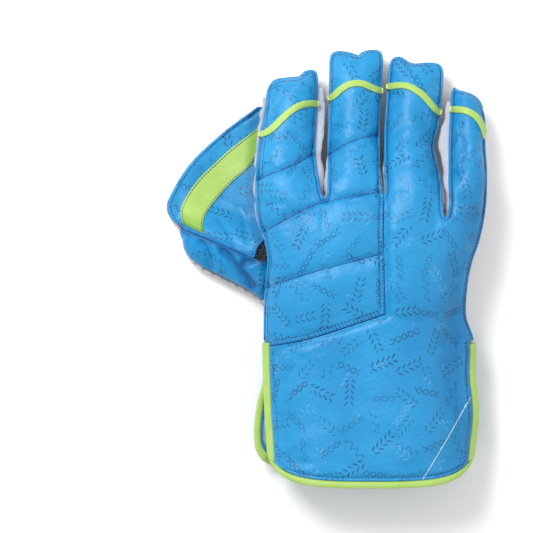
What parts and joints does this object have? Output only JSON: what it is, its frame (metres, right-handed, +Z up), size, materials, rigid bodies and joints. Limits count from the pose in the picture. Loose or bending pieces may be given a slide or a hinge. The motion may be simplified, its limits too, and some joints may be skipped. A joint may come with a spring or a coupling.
{
  "type": "wicketkeeping glove",
  "caption": "Padded leather wicketkeeping glove for the right hand, blue back with lime bands, pimpled rubber palm with a web, long open cuff.",
  "frame": {"origin": "middle of the glove's footprint, on the surface that it lies on palm down", "axes": "+Y from the cuff to the fingertips, +X towards the little finger, +Z up out of the back"},
  "size_m": [0.2364, 0.32, 0.0624],
  "materials": {
    "blue_leather": "soft satin, padded",
    "lime_leather": "satin",
    "pimpled_rubber": "matt, pimpled",
    "grey_leather": "matt",
    "grey_cloth": "woven, matt",
    "pale_lining": "brushed, matt"
  },
  "bodies": {
    "root": {"back_base": "blue_leather", "back_overlay": "blue_leather", "web_back": "blue_leather", "thumb_back": "blue_leather", "cuff_palm": "blue_leather", "cuff_palm_band": "blue_leather", "tip_band_index": "lime_leather", "tip_band_middle": "lime_leather", "tip_band_ring": "lime_leather", "tip_band_little": "lime_leather", "web_stripe": "lime_leather", "cuff_back_binding": "lime_leather", "cuff_palm_binding": "lime_leather", "palm_rubber": "pimpled_rubber", "index_side_gusset": "grey_leather", "index_middle_gusset": "grey_leather", "middle_ring_gusset": "grey_leather", "ring_little_gusset": "grey_leather", "little_side_gusset": "grey_leather", "wrist_gusset": "grey_cloth", "cuff_lining": "grey_cloth", "palm_lining": "pale_lining"}
  },
  "joints": []
}
